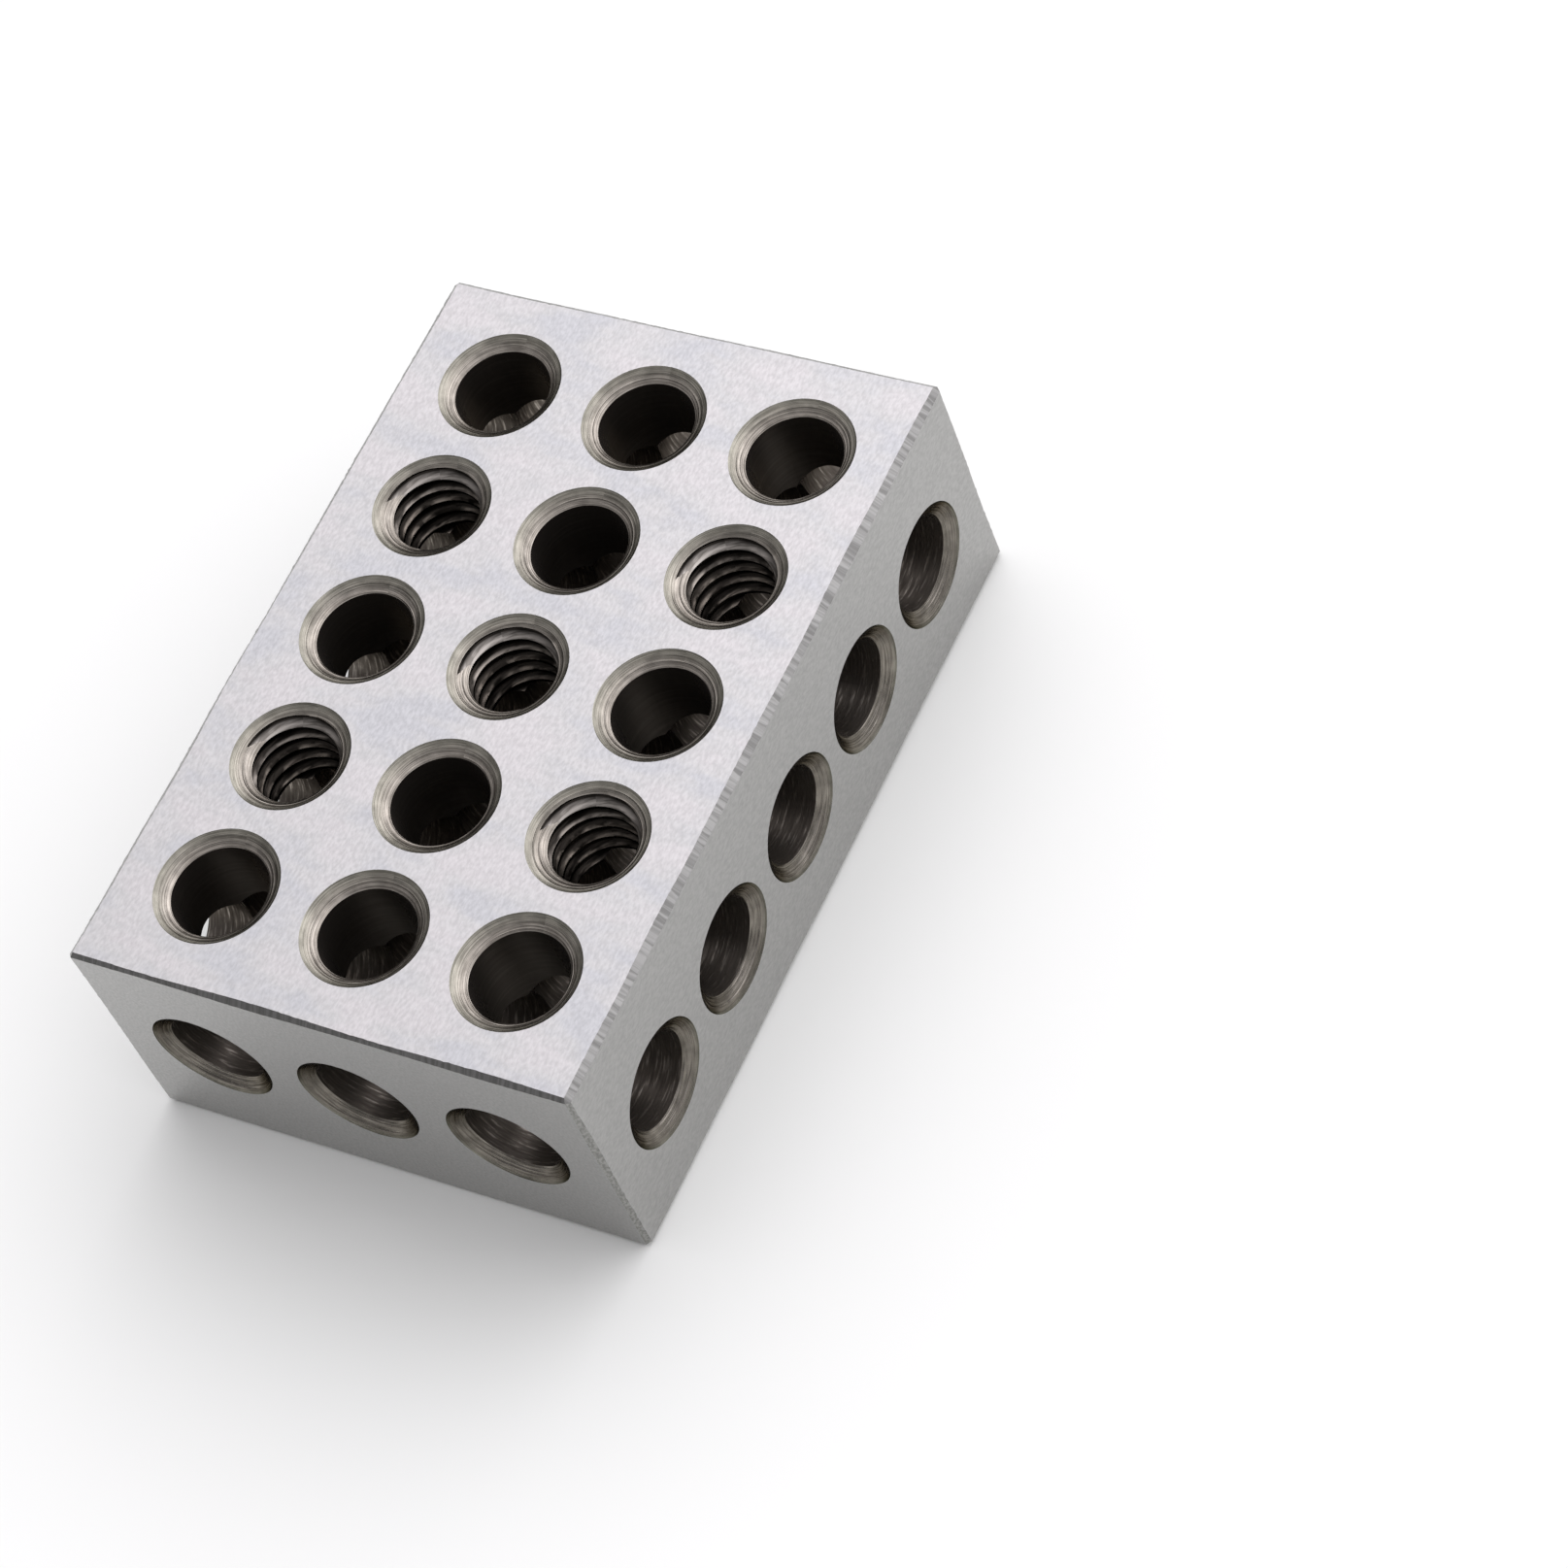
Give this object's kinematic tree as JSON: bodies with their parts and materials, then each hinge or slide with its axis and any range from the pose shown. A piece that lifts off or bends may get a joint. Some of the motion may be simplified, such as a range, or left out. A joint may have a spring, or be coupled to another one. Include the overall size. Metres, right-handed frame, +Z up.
{
  "type": "machinist setup block",
  "caption": "Rectangular ground steel setup block with crossing countersunk through holes, some of them tapped, for squaring, raising and clamping work on a machine table.",
  "frame": {"origin": "centre of the wide face that the block lies on", "axes": "+X along the length, +Y along the width, +Z up through the thickness"},
  "size_m": [0.0762, 0.0508, 0.0254],
  "materials": {
    "ground_steel": "surface ground, satin"
  },
  "bodies": {
    "root": {"setup_block": "ground_steel"}
  },
  "joints": []
}
